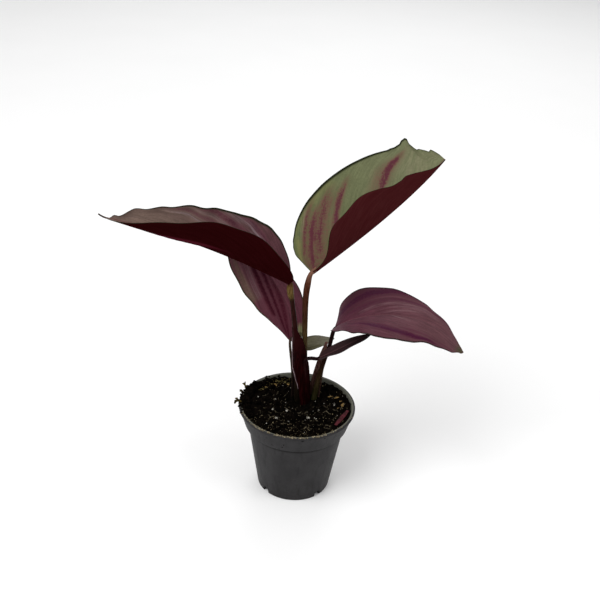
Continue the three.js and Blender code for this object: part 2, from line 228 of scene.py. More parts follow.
def piece(name, points, faces, finishes, stands_for=(), finish_of_face=None):
    """Makes a mesh of points in millimetres, which stands with the plant on the CAD's one body."""
    mesh = bpy.data.meshes.new(name)
    mesh.from_pydata((np.asarray(points, float) * MM).tolist(), [], faces)
    mesh.polygons.foreach_set("use_smooth", [True] * len(mesh.polygons))
    for made in finishes:
        mesh.materials.append(made)
    if finish_of_face is not None:
        mesh.polygons.foreach_set("material_index", finish_of_face)
    made = bpy.data.objects.new(name, mesh)
    bpy.context.collection.objects.link(made)
    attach(made, "root")
    if stands_for:
        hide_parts(*stands_for)
    return made


def turned_faces(rings, sides, closed=False):
    """The faces between rings of points that run round an axis, and over both ends of a closed piece."""
    faces = []
    for i in range(rings - 1):
        for j in range(sides):
            k = (j + 1) % sides
            faces.append((i * sides + j, i * sides + k, (i + 1) * sides + k, (i + 1) * sides + j))
    if closed:
        faces.append(tuple(range(sides))[::-1])
        faces.append(tuple(range((rings - 1) * sides, rings * sides)))
    return faces


def height_of(where):
    return shade(where, "SeparateXYZ", {"Vector": where}, out="Z")


def drawn_up(where, share):
    """The place with its height cut to that share, so that a grain there runs in upright streaks."""
    return shade(where, "VectorMath", {0: where, 1: (1, 1, share)}, operation="MULTIPLY")


def reckon(first, operation, second):
    return shade(first, "Math", {0: first, 1: second}, operation=operation)


def times(first, second):
    return reckon(first, "MULTIPLY", second)


def plus(first, second):
    return reckon(first, "ADD", second)


def rise(value, low, high):
    """0 below low and 1 above high, with a smooth step between them."""
    feeds = {"Value": value, "From Min": low, "From Max": high}
    return shade(value, "MapRange", feeds, interpolation_type="SMOOTHSTEP")


def fall(value, low, high):
    """1 below low and 0 above high, with a smooth step between them."""
    return shade(value, "Math", {0: 1.0, 1: rise(value, low, high)}, operation="SUBTRACT")


def ranged(value, low, high):
    """The value, which goes from 0 to 1, turned into one from low to high."""
    return shade(value, "MapRange", {"Value": value, "To Min": low, "To Max": high})


def relief(made, height, depth):
    """Bumps of that depth in millimetres."""
    give(made, "Normal", shade(made, "Bump", {"Height": height, "Distance": depth * MM}))


grey_plastic = finish("grey_plastic", roughness=0.5, gloss=0.06)
at = in_millimetres(grey_plastic)
height = height_of(at)
from_axis = shade(at, "VectorMath", {0: drawn_up(at, 0)}, out="Value", operation="LENGTH")
streaks = grain(drawn_up(at, 0.06), 0.5, 3)
clouds = grain(at, 0.12, 4)
body = mixed(rise(clouds, 0.35, 0.65), *POT_GREYS)
body = mixed(rise(streaks, 0.5, 0.8), body, STREAK_GREY)
scuffs = plus(grain(at, 0.8, 8, 0.7), times(fall(height, *GRIMY_HEIGHTS), 0.1))
body = mixed(times(rise(scuffs, 0.56, 0.72), 0.45), body, GRIME)
# Painted shade, with some dirt, darkens the wall just under the band's ledge
corner = times(rise(height, *SHADED_HEIGHTS), reckon(height, "LESS_THAN", BAND_BOTTOM + 0.2))
body = mixed(times(corner, 0.8), body, SHADE_AND_DIRT_UNDER_BAND)
# The wall's middle is at this distance from the axis, so that what is nearer to it is the inside
slant = (BAND_TOP_RADIUS - BAND_BOTTOM_RADIUS) / (POT_HEIGHT - LIP_HEIGHT - BAND_BOTTOM)
middle = times(reckon(height, "SUBTRACT", BAND_BOTTOM), slant)
middle = plus(middle, BAND_BOTTOM_RADIUS - WALL / 2)
inside = rise(reckon(middle, "SUBTRACT", from_axis), 0.0, 0.15)
inside = times(inside, rise(height, *INSIDE_HEIGHTS))
give(grey_plastic, "Base Color", mixed(times(inside, 0.85), body, INSIDE_GREY))
give(grey_plastic, "Roughness", ranged(streaks, 0.42, 0.6))
relief(grey_plastic, grain(at, 2.2, 6, 0.6), 0.1)

outline = rounded(POT_OUTLINE)
turns = np.linspace(0, 2 * np.pi, POT_SIDES, endpoint=False)
rings = [np.stack([r * np.cos(turns), r * np.sin(turns), np.full(POT_SIDES, z)], 1) for r, z in outline]
pot_faces = turned_faces(len(outline), POT_SIDES)
pot = piece("nursery_pot", np.concatenate(rings), pot_faces, [grey_plastic], ["pot"])
punches = []
for i in range(DRAIN_HOLES):
    bpy.ops.mesh.primitive_cylinder_add(
        vertices=PUNCH_SIDES, radius=DRAIN_RADIUS * MM, depth=PUNCH_LENGTH * MM)
    punch = bpy.context.object
    angle = math.radians(FIRST_DRAIN_ANGLE + 360 / DRAIN_HOLES * i)
    lean = Matrix.Rotation(math.radians(90 - DRAIN_SLANT), 4, "Y")
    out = Matrix.Translation((FLOOR_RADIUS * MM, 0, DRAIN_HEIGHT * MM))
    punch.data.transform(Matrix.Rotation(angle, 4, "Z") @ out @ lean)
    punches.append(punch)
welded = bmesh.new()
welded.from_mesh(pot.data)
bmesh.ops.remove_doubles(welded, verts=welded.verts, dist=WELDED_WITHIN)
bmesh.ops.recalc_face_normals(welded, faces=welded.faces)
welded.to_mesh(pot.data)
welded.free()
for punch in punches:
    cut = pot.modifiers.new(punch.name, "BOOLEAN")
    cut.operation = "DIFFERENCE"
    cut.solver = "EXACT"
    cut.object = punch
bpy.context.view_layer.update()
cut_mesh = bpy.data.meshes.new_from_object(pot.evaluated_get(bpy.context.evaluated_depsgraph_get()))
pot.modifiers.clear()
pot.data = cut_mesh
pot.data.set_sharp_from_angle(angle=math.radians(SHARP_EDGE))
for punch in punches:
    bpy.data.objects.remove(punch)


# The soil is dark, moist peat with bark and sand in it, pressed into the pot by hand. It rises to the
# rim, most at the left, where crumbs have spilled over it, and dips at the back and round the stems.
SOIL_MIDDLE = 41
SOIL_RISE = 2.1
# Height, place and spread of the heap at the left and of the hollows at the back and round the stems
MOUNDS = ((0.6, -25, 6, 150), (-1.7, 5, 25, 90), (-1.3, -1.5, 5, 20))
CLOD_GRAIN = 0.62
CRUMB_GRAIN = 1.5
DUST_GRAIN = 2.6
CLOD_LIFT = 0.75
CRUMB_LIFT = 0.4
DUST_LIFT = 0.3
SOIL_SIDES = 300
SOIL_RINGS = 110
SOIL_EDGE = 25.8
INNERMOST = 0.003
LOOSE_AT_WALL = 0.25
LOOSENING = 12
SEAT_GAP = 0.3
# Radius and height of the soil's foot, which fills the pot up to its band
SOIL_FOOT = (
    (1, FLOOR + SEAT_GAP),
    (FLOOR_RADIUS - WALL - SEAT_GAP, FLOOR + SEAT_GAP),
    (WALL_TOP_RADIUS - WALL - SEAT_GAP - 0.2, BAND_BOTTOM + WALL - 0.2),
    (BAND_BOTTOM_RADIUS - WALL - SEAT_GAP, BAND_BOTTOM + WALL + 0.6),
)
CRUMBS = 64
CRUMB_SIZES = (0.7, 1.6)
CRUMB_REACH = 23.8
STEM_ROOM = 3.4
SCRAP_ROOM = 4
FIRST_CRUMB = (-12, 0)
SHAPING_DRAWS = 5
FINE_CRUMBS = 1500
FINE_REACH = 25.2
FINE_ROOM = 1.9
FINEST = 0.22
SPILL = 620
SPILL_MIDDLE = 164
SPILL_SPREAD = 24
SPILL_ENDS = (112, 208)
SPILL_RADII = (22.5, 27.3)
SPILL_SIZES = (0.25, 0.75)
SPILL_HEAP = 0.9
SPILL_HEAP_WIDTH = 26
SPILL_DEPTH = 1.3
DRAW_STEP = 16807
DRAW_RANGE = 2147483647
STEM_FEET = ((0.3, 8.5), (3.9, 8.9), (-1.8, 13.5), (7.8, 9), (3.3, 5.2), (1.6, 12.6))
SCRAP_MIDRIB = ((18.2, -14.4, 43.3), (20.2, -10.5, 43.4), (22.2, -6.5, 43.4), (24, -2.7, 43.5))
PEAT_BLACKS = (paint(6, 5, 4), paint(17, 13, 10))
PEAT_FIBRE = paint(38, 31, 23)
PEAT_SAND = paint(84, 75, 58)


def band_inside(z):
    share = np.clip((z - INSIDE_LOW) / (INSIDE_HIGH - INSIDE_LOW), 0, 1)
    return BAND_BOTTOM_RADIUS + (BAND_TOP_RADIUS - BAND_BOTTOM_RADIUS) * share - WALL


def soil_height(x, y):
    height = SOIL_MIDDLE + SOIL_RISE * ((x * x + y * y) / band_inside(POT_HEIGHT) ** 2)
    for lift, middle_x, middle_y, spread in MOUNDS:
        height = height + lift * np.exp(-((x - middle_x) ** 2 + (y - middle_y) ** 2) / spread)
    broad_lumps = 0.3 * np.sin(0.9 * x + 1.3) * np.cos(0.8 * y)
    small_lumps = 0.25 * np.sin(1.6 * x - 1.1 * y + 2)
    return height + broad_lumps + small_lumps


def crumbled(x, y, z):
    """How far loose crumbs lift the surface there."""
    clods = 1 - noise.voronoi(Vector((x, y, z)) * CLOD_GRAIN)[0][0]
    crumbs = 1 - noise.voronoi(Vector((x, y, z + 9)) * CRUMB_GRAIN)[0][0]
    dust = noise.fractal(Vector((x, y, z)) * DUST_GRAIN, 1, 2, 4)
    return CLOD_LIFT * (clods - 0.55) + CRUMB_LIFT * (crumbs - 0.5) + DUST_LIFT * dust


def on_soil(x, y, above=0.0):
    z = float(soil_height(x, y))
    return x, y, z + crumbled(x, y, z) + above


def spoke(radius, angle):
    """The x and y at that distance from the pot's axis, at an angle in radians."""
    return radius * math.cos(angle), radius * math.sin(angle)


def anywhere(reach, pick):
    """A place within reach of the pot's axis. pick gives a number between two others."""
    radius = reach * math.sqrt(pick(0, 1))
    return spoke(radius, pick(0, 2 * math.pi))


def clear_of(x, y, places, distance):
    return all(math.hypot(x - place[0], y - place[1]) > distance for place in places)


soil_turns = np.linspace(0, 2 * np.pi, SOIL_SIDES, endpoint=False)
soil_rows = [[(*spoke(r, t), z) for t in soil_turns] for r, z in SOIL_FOOT]
for share in np.linspace(1, INNERMOST, SOIL_RINGS):
    row = []
    for t in soil_turns:
        edge = band_inside(soil_height(*spoke(SOIL_EDGE, t))) - SEAT_GAP
        x, y = spoke(share * edge, t)
        z = float(soil_height(x, y))
        loose = min(1, (1 - share) * LOOSENING + LOOSE_AT_WALL)
        row.append((x, y, z + crumbled(x, y, z) * loose))
    soil_rows.append(row)

damp_peat = finish("damp_peat", roughness=0.85, gloss=0.0)
at = in_millimetres(damp_peat)
peat = mixed(rise(grain(at, 0.5, 5, 0.6), 0.4, 0.65), *PEAT_BLACKS)
peat = mixed(rise(grain(at, 2.7, 6, 0.65), 0.62, 0.76), peat, PEAT_FIBRE)
peat = mixed(rise(grain(at, 4.6, 3, 0.5), 0.76, 0.82), peat, PEAT_SAND)
give(damp_peat, "Base Color", peat)
relief(damp_peat, grain(at, 3.0, 8, 0.7), 0.5)

soil_faces = turned_faces(len(soil_rows), SOIL_SIDES, closed=True)
piece("soil_bed", np.array(soil_rows).reshape(-1, 3), soil_faces, [damp_peat], ["soil"])


def ball(splits):
    """The points and faces of a round lump of radius 1."""
    round_mesh = bmesh.new()
    bmesh.ops.create_icosphere(round_mesh, subdivisions=splits, radius=1)
    points = np.array([v.co for v in round_mesh.verts])
    faces = np.array([[v.index for v in f.verts] for f in round_mesh.faces])
    round_mesh.free()
    return points, faces


def scattered(name, made, spots, splits, seed, flatness=(0.5, 0.9), rough=0.22):
    """Makes uneven grains, each at its x, y, z with its size, as one piece."""
    chance = np.random.default_rng(seed)
    base, base_faces = ball(splits)
    points = []
    for x, y, z, size in spots:
        waves = chance.normal(size=(3, 3)) * 2.2
        swell = 1 + rough * np.sin(base @ waves.T + chance.uniform(0, 6, 3)).sum(1) / 1.5
        stretch = np.array((chance.uniform(0.8, 1.3), chance.uniform(0.7, 1), chance.uniform(*flatness)))
        spin = Matrix.Rotation(chance.uniform(0, 6.3), 3, "Z")
        spin = spin @ Matrix.Rotation(chance.uniform(-0.5, 0.5), 3, "X")
        points.append((base * swell[:, None] * stretch * size) @ np.array(spin).T + (x, y, z))
    faces = np.concatenate([base_faces + i * len(base) for i in range(len(spots))])
    piece(name, np.concatenate(points), faces.tolist(), [made])


draw_state = 2024


def draw(low, high):
    global draw_state
    draw_state = draw_state * DRAW_STEP % DRAW_RANGE
    return low + (high - low) * draw_state / DRAW_RANGE


# The clods lie where the solid model's crumbs do, so the draws that shape a crumb there are passed over
clods = [(*FIRST_CRUMB, float(soil_height(*FIRST_CRUMB)), 1.0)]
for _ in range(SHAPING_DRAWS):
    draw(0, 1)
while len(clods) <= CRUMBS:
    x, y = anywhere(CRUMB_REACH, draw)
    if clear_of(x, y, STEM_FEET, STEM_ROOM) and clear_of(x, y, SCRAP_MIDRIB, SCRAP_ROOM):
        size = draw(*CRUMB_SIZES)
        clods.append((x, y, float(soil_height(x, y)) + 0.1 * size, 0.9 * size))
        for _ in range(SHAPING_DRAWS):
            draw(0, 1)
scattered("soil_clods", damp_peat, clods, splits=3, seed=5, rough=0.3)

chance = np.random.default_rng(11)
fine = []
while len(fine) < FINE_CRUMBS:
    x, y = anywhere(FINE_REACH, chance.uniform)
    size = FINEST + 0.5 * chance.uniform(0, 1) ** 2.5
    if clear_of(x, y, STEM_FEET, FINE_ROOM + size):
        fine.append((*on_soil(x, y, 0.3 * size), size))
for _ in range(SPILL):
    angle = np.clip(chance.normal(SPILL_MIDDLE, SPILL_SPREAD), *SPILL_ENDS)
    radius = chance.uniform(*SPILL_RADII)
    size = chance.uniform(*SPILL_SIZES)
    high = POT_HEIGHT + SPILL_HEAP * math.exp(-((angle - SPILL_MIDDLE) / SPILL_HEAP_WIDTH) ** 2)
    fine.append((*spoke(radius, math.radians(angle)), high - chance.uniform(0, SPILL_DEPTH), size))
scattered("soil_crumbs", damp_peat, fine, splits=2, seed=12, rough=0.3)


# What lies in the soil: white puffs of perlite, chips of tan bark, pale grit, yellow moss and root fibres.
# They were stirred in with it, and watering has left them lying on top. A puff has its place and size, and
# a chip its turn as well.
PERLITE = ((17.5, 3.5, 0.75), (7.6, -1.2, 0.6), (10.2, -1.0, 0.65), (-9.2, -9.5, 0.8), (-11.4, -2.0, 0.5),
           (5.2, -7.0, 0.6), (5.9, -7.9, 0.55), (-13.2, 4.0, 0.4), (-10.5, 6.5, 0.45), (-4.8, -2.2, 0.5))
BARK = ((16.0, 10.0, 1.3, 20), (18.6, 9.0, 1.5, -25), (20.8, 6.2, 1.2, 60), (21.6, 2.4, 1.6, 75),
        (19.8, 0.4, 1.0, 30), (-4.5, 19.5, 1.2, 10), (-10.5, 17.5, 1.4, 160), (-15.5, 15.0, 1.1, 140))
PUFFS = 46
PUFF_SIZES = (0.14, 0.32)
LOOSE_ROOM = 2.5
GRIT = 340
GRIT_REACH = 25.3
GRIT_SIZES = (0.1, 0.3)
MOSS = 120
MOSS_ANGLES = (96, 150)
MOSS_RADII = (20.5, 25)
MOSS_SIZES = (0.15, 0.4)
FIBRES = 120
FIBRE_STEP = 0.5
FIBRE_BEND = 0.32
FIBRE_ROOM = 4.5
FIBRE_SIZES = (0.04, 0.09)
THREAD_SIDES = 5
# The long pale root in front of the stems, two curled ones at the right and a short one at the front
ROOTS = (((-7.6, 3.0), (-4.8, -0.6), (-1.6, -3.4), (2.4, -6.2)), ((20.5, -1.0), (21.4, 1.6), (23.0, 3.6)),
         ((12.2, -2.6), (14.0, -1.6), (15.6, -3.2)), ((4.2, -8.6), (6.6, -9.6), (8.8, -9.0)))
ROOT_SIZES = [0.13, 0.16, 0.14, 0.11]


def tinted(name, dark, pale, roughness, scale):
    """A finish that goes from one colour to another in fine grains."""
    made = finish(name, roughness, 0.05)
    where = in_millimetres(made)
    share = rise(grain(where, scale, 5, 0.6), 0.38, 0.62)
    give(made, "Base Color", mixed(share, paint(*dark), paint(*pale)))
    relief(made, grain(where, 3 * scale, 6, 0.65), 0.15)
    return made


chance = np.random.default_rng(21)
puffs = [(*on_soil(x, y, 0.3 * size), size) for x, y, size in PERLITE]
while len(puffs) < PUFFS:
    x, y = chance.uniform(-23, 23, 2)
    size = chance.uniform(*PUFF_SIZES)
    if math.hypot(x, y) < 24 and clear_of(x, y, STEM_FEET, LOOSE_ROOM):
        puffs.append((*on_soil(x, y, 0.3 * size), size))
white_perlite = tinted("white_perlite", (112, 108, 98), (176, 172, 162), 0.8, 1.2)
scattered("perlite", white_perlite, puffs, splits=3, seed=22, flatness=(0.7, 1.0), rough=0.3)

chip_points = []
chip_faces = []
base, base_faces = ball(2)
for i, (x, y, size, turn) in enumerate(BARK):
    shape = base * (1 + 0.25 * np.sin(4.1 * base[:, [1, 2, 0]] + i)) * (size, 0.42 * size, 0.22 * size)
    spin = Matrix.Rotation(math.radians(turn), 3, "Z") @ Matrix.Rotation(chance.uniform(-0.5, 0.5), 3, "Y")
    chip_points.append(shape @ np.array(spin).T + on_soil(x, y, 0.25))
    chip_faces += (base_faces + i * len(base)).tolist()
tan_bark = tinted("tan_bark", (78, 60, 32), (156, 128, 80), 0.8, 0.8)
piece("bark_chips", np.concatenate(chip_points), chip_faces, [tan_bark])

# Most of the grit has washed to the front
grit = []
while len(grit) < GRIT:
    x, y = anywhere(GRIT_REACH, chance.uniform)
    front = 0.12 + 0.88 * np.clip((-y - 4) / 18, 0, 1)
    size = chance.uniform(*GRIT_SIZES)
    if chance.uniform() < front and clear_of(x, y, STEM_FEET, LOOSE_ROOM):
        grit.append((*on_soil(x, y, 0.5 * size), size))
pale_grit = tinted("pale_grit", (62, 54, 38), (132, 120, 92), 0.85, 0.9)
scattered("pale_grit", pale_grit, grit, splits=1, seed=23, flatness=(0.6, 1.0))

moss = []
while len(moss) < MOSS:
    angle = math.radians(chance.uniform(*MOSS_ANGLES))
    x, y = spoke(chance.uniform(*MOSS_RADII), angle)
    size = chance.uniform(*MOSS_SIZES)
    moss.append((*on_soil(x, y, 0.4 * size), size))
dry_moss = tinted("dry_moss", (58, 52, 26), (118, 106, 66), 0.9, 1.5)
scattered("dry_moss", dry_moss, moss, splits=1, seed=24, flatness=(0.6, 1.0))


def unit(v):
    return v / np.linalg.norm(v, axis=-1, keepdims=True)


def between(places, stops, rows):
    """The rows that stand at the stops, read at other places in between."""
    return np.stack([np.interp(places, stops, column) for column in np.transpose(rows)], -1)


def finer(line, count):
    """The line of points with that many, evenly spread over its stretches."""
    return between(np.linspace(0, len(line) - 1, count), range(len(line)), line)


def tube(line, sizes, sides, beside, ribs=0.0):
    """A round bar along a line of points, with its radius at each. beside is a way across the line."""
    on = unit(np.gradient(line, axis=0))
    aside = unit(np.cross(on, beside))
    over = np.cross(on, aside)
    turns = np.linspace(0, 2 * np.pi, sides, endpoint=False)
    ribbed = 1 + ribs * np.cos(5 * turns + 1)
    rings = [p + r * (np.outer(ribbed * np.cos(turns), a) + np.outer(ribbed * np.sin(turns), o))
             for p, a, o, r in zip(line, aside, over, sizes)]
    return np.concatenate(rings), turned_faces(len(line), sides, closed=True)


def threads(name, made, lines, sizes):
    """Makes thin round threads, pointed at both ends, as one piece."""
    points = []
    faces = []
    count = 0
    for line, size in zip(lines, sizes):
        taper = np.sin(np.linspace(0.15, np.pi - 0.15, len(line))) ** 0.4
        more, theirs = tube(np.array(line), size * taper, THREAD_SIDES, (0.13, 0.21, 1.0))
        faces += [tuple(v + count for v in f) for f in theirs]
        points.append(more)
        count += len(more)
    piece(name, np.concatenate(points), faces, [made])


lines = [[on_soil(x, y, 0.35) for x, y in root] for root in ROOTS]
thick = ROOT_SIZES.copy()
while len(lines) < FIBRES:
    x, y = chance.uniform(-22, 22, 2)
    heading = chance.uniform(0, 6.3)
    bend = chance.normal() * FIBRE_BEND
    if math.hypot(x, y) > 21 or not clear_of(x, y, STEM_FEET, FIBRE_ROOM):
        continue
    line = []
    for _ in range(chance.integers(4, 10)):
        line.append(on_soil(x, y, 0.25))
        x += FIBRE_STEP * math.cos(heading)
        y += FIBRE_STEP * math.sin(heading)
        heading += bend
    lines.append(line)
    thick.append(chance.uniform(*FIBRE_SIZES))
root_fibre = tinted("root_fibre", (46, 40, 30), (126, 116, 94), 0.8, 0.3)
threads("root_fibres", root_fibre, [finer(line, 3 * len(line)) for line in lines], thick)


# Bits of twig and dried root that stick out over the rim at the left: a line of points and a thickness
TWIGS = (
    (((-24.4, 11.2, 44.2), (-25.7, 11.9, 45.3), (-26.4, 12.2, 46.1)), 0.5),
    (((-25.4, 11.9, 45.0), (-25.6, 12.5, 45.9), (-25.4, 12.8, 46.5)), 0.36),
    (((-26.0, 12.1, 45.6), (-26.8, 11.8, 45.9)), 0.34),
    (((-25.9, 7.2, 44.2), (-27.0, 7.5, 44.9), (-27.7, 7.4, 45.4)), 0.46),
    (((-26.8, 7.4, 44.7), (-27.7, 6.7, 44.9)), 0.34),
    (((-26.2, -1.2, 44.2), (-27.8, -1.0, 45.0), (-29.0, -1.4, 44.8), (-29.4, -2.2, 43.9)), 0.68),
    (((-27.4, -1.1, 44.7), (-28.4, 0.0, 45.3), (-29.2, 0.3, 45.2)), 0.5),
)
TWIG_POINTS = 10
TWIG_KINKS = 0.06
twig_lines = []
for line, _ in TWIGS:
    twig = finer(line, TWIG_POINTS)
    twig_lines.append(twig + chance.normal(0, TWIG_KINKS, twig.shape))
dark_twig = tinted("dark_twig", (20, 16, 10), (88, 74, 36), 0.85, 0.35)
threads("spilled_twigs", dark_twig, twig_lines, [size for _, size in TWIGS])


# Dirt on the pot. A crust of dried, limy dust lies along the front of the lip, and a few crumbs of soil
# stick to the band under it, each at its angle and height with its size.
CRUST = 520
CRUST_MIDDLE = 262
CRUST_SPREAD = 34
CRUST_ENDS = (195, 345)
CRUST_RADII = (26.15, 27.35)
DIRT = ((258.5, 38.6, 0.55), (256.5, 36.6, 0.3), (268, 38.4, 0.28), (277, 42.2, 0.6), (279.5, 42.1, 0.35),
        (300, 41.9, 0.5), (318, 42.5, 0.4), (240, 40.2, 0.45), (237, 38.2, 0.3), (245, 36.4, 0.28))
chance = np.random.default_rng(31)
crust = []
while len(crust) < CRUST:
    angle = chance.normal(CRUST_MIDDLE, CRUST_SPREAD)
    bare = noise.noise(Vector((angle * 0.16, 0, 3))) < -0.15
    if bare or not CRUST_ENDS[0] < angle < CRUST_ENDS[1]:
        continue
    size = 0.07 + 0.22 * chance.uniform() ** 2
    x, y = spoke(chance.uniform(*CRUST_RADII), math.radians(angle))
    crust.append((x, y, POT_HEIGHT + 0.2 * size, size))
limy_dust = tinted("limy_dust", (92, 82, 62), (164, 152, 126), 0.9, 1.0)
scattered("lip_dust", limy_dust, crust, splits=1, seed=32, flatness=(0.4, 0.8))
stuck = [(*spoke(band_inside(z) + WALL, math.radians(angle)), z, size) for angle, z, size in DIRT]
scattered("stuck_dirt", damp_peat, stuck, splits=2, seed=33, flatness=(0.6, 0.9))


# The petioles carry the leaves. Each is a round, sappy stem, burgundy or olive, rooted in the soil, and
# the taller ones swell just under the blade into the joint that folds the leaf up at night. A petiole is
# given by points up it, with its radius at each.
ROOTED_DEPTH = 7
STEM_SIDES = 20
STEM_STEPS = 12
STEM_RIBS = 0.035
PETIOLES = {
    "left": ((0.3, 8.5, 40, 1.7), (-0.6, 8, 57.8, 1.55), (-1.8, 7.2, 72, 1.4), (-3.3, 6.3, 86, 1.2),
             (-4.7, 5.6, 96, 1.1), (-5.5, 5.2, 100, 1.5), (-5.9, 5, 103.5, 1.5), (-5.7, 5, 105.3, 1)),
    "upper": ((3.9, 8.9, 40, 1.5), (2.8, 8.5, 57.7, 1.3), (2.1, 8, 71.9, 1.25), (1.6, 7.6, 85.6, 1.3),
              (1.4, 7.2, 97.8, 1.4), (1.9, 6.6, 104.6, 1.45), (3.1, 6.1, 110.4, 1)),
    "back": ((-1.8, 13.5, 40, 0.75), (-3.4, 14.6, 56, 0.65), (-4.9, 15.3, 68.5, 0.6)),
    "right": ((7.8, 9, 40.5, 1.5), (9.4, 8.2, 52.7, 1.25), (11.5, 7, 63.7, 1), (13.6, 6, 73.3, 0.95),
              (15.1, 5.2, 82.3, 0.9)),
    "small_front": ((3.3, 5.2, 41, 0.75), (3, 5, 56, 0.7), (2.7, 4.2, 63.5, 0.75), (3.3, 2.9, 67.4, 0.85),
                    (5.4, 2.1, 68.5, 0.85), (8.1, 2.1, 68.4, 0.8)),
    "small_back": ((1.6, 12.6, 40, 0.65), (0.8, 12.9, 56, 0.6), (-0.4, 13.7, 64.6, 0.65),
                   (-0.7, 14.3, 66.4, 0.6)),
}
# Where each petiole's blade goes on from it
ONWARD = {"left": (-9, 4.9, 107.6, 0.7), "upper": (5.4, 7.6, 112.6, 0.7), "back": (-4.6, 16.2, 71, 0.5),
          "right": (16.4, 5.2, 84.6, 0.6), "small_front": (9.6, 2.3, 68.9, 0.5),
          "small_back": (0.9, 14.8, 67.3, 0.4)}
# The colours of each petiole: height, red, green and blue
STEM_COLOURS = {
    "left": ((38, 14, 11, 6), (50, 24, 17, 10), (60, 30, 5, 5), (78, 34, 6, 6), (88, 36, 11, 8),
             (97, 36, 15, 8), (99.5, 86, 68, 30), (104, 88, 66, 28), (106, 52, 20, 12)),
    "upper": ((38, 14, 8, 5), (55, 34, 26, 12), (66, 72, 60, 30), (76, 66, 50, 24), (88, 52, 28, 13),
              (97, 58, 28, 12), (106, 74, 36, 18), (111, 122, 84, 66)),
    "back": ((40, 22, 20, 12), (48, 34, 30, 20), (60, 50, 44, 30), (69, 60, 44, 36)),
    "right": ((38, 44, 44, 20), (46, 40, 36, 16), (54, 46, 34, 18), (63, 34, 16, 8), (72, 20, 5, 4),
              (84, 26, 8, 9)),
    "small_front": ((40, 22, 8, 8), (60, 34, 12, 12), (69, 22, 9, 10)),
    "small_back": ((40, 40, 30, 20), (60, 84, 80, 50), (68, 96, 94, 62)),
}


def threaded(points, steps):
    """A smooth line through points, given as x, y, z and radius."""
    points = np.array(points, float)
    ends = np.concatenate([[2 * points[0] - points[1]], points, [2 * points[-1] - points[-2]]])
    rows = []
    for a, b, c, d in zip(ends, ends[1:], ends[2:], ends[3:]):
        ab, bc, cd = (max(np.linalg.norm(q[:3] - p[:3]), 1e-6) ** 0.5 for p, q in ((a, b), (b, c), (c, d)))
        leave = ((b - a) / ab - (c - a) / (ab + bc) + (c - b) / bc) * bc
        arrive = ((c - b) / bc - (d - b) / (bc + cd) + (d - c) / cd) * bc
        for t in np.arange(steps) / steps:
            rows.append(b + leave * t + (3 * (c - b) - 2 * leave - arrive) * t * t
                        + (2 * (b - c) + leave + arrive) * t ** 3)
    rows.append(points[-1])
    return np.array(rows)


sappy_stem = finish("sappy_stem", roughness=0.35, gloss=0.015)
at = in_millimetres(sappy_stem)
tint = shade(sappy_stem, "Attribute", {}, out="Color", attribute_name="tint")
fine_lines = grain(drawn_up(at, 0.09), 3.2, 4, 0.6)
darker = shade(tint, "HueSaturation", {"Value": 0.55, "Color": tint})
paler = shade(tint, "HueSaturation", {"Value": 1.45, "Saturation": 0.9, "Color": tint})
give(sappy_stem, "Base Color", mixed(rise(fine_lines, 0.3, 0.7), darker, paler))
relief(sappy_stem, fine_lines, 0.12)

for name, points in PETIOLES.items():
    x, y, z, size = points[0]
    line = threaded([(x, y, z - ROOTED_DEPTH, size), *points, ONWARD[name]], STEM_STEPS)
    skin, faces = tube(line[:, :3], line[:, 3], STEM_SIDES, (0, 1, 0), STEM_RIBS)
    stem = piece("petiole_of_" + name, skin, faces, [sappy_stem], ["petiole_" + name])
    heights = [stop[0] for stop in STEM_COLOURS[name]]
    colours = [paint(*stop[1:]) for stop in STEM_COLOURS[name]]
    tints = between(np.repeat(line[:, 2], STEM_SIDES), heights, colours)
    layer = stem.data.color_attributes.new("tint", "FLOAT_COLOR", "POINT")
    layer.data.foreach_set("color", tints.astype(np.float32).ravel())


# The blades. Each is one thin leaf, folded up along its midrib, with side veins that bend towards the tip.
# It is sage green or mauve with plum flames above, burgundy beneath, and has a thin dark margin.
BLADE_EDGE = 0.22
BLADE_MIDDLE = 0.5
NARROWEST_HALF = 0.7
CREEP = 1.35
PLEAT = 0.05
# Over these shares of the half width, or of the length at its two ends, a marking fades out
MIDRIB_FADE = 0.12
MARGIN_FADE = 0.16
END_FADE = 0.04
WHOLE_LEAF = (0, 1, 0, 1)
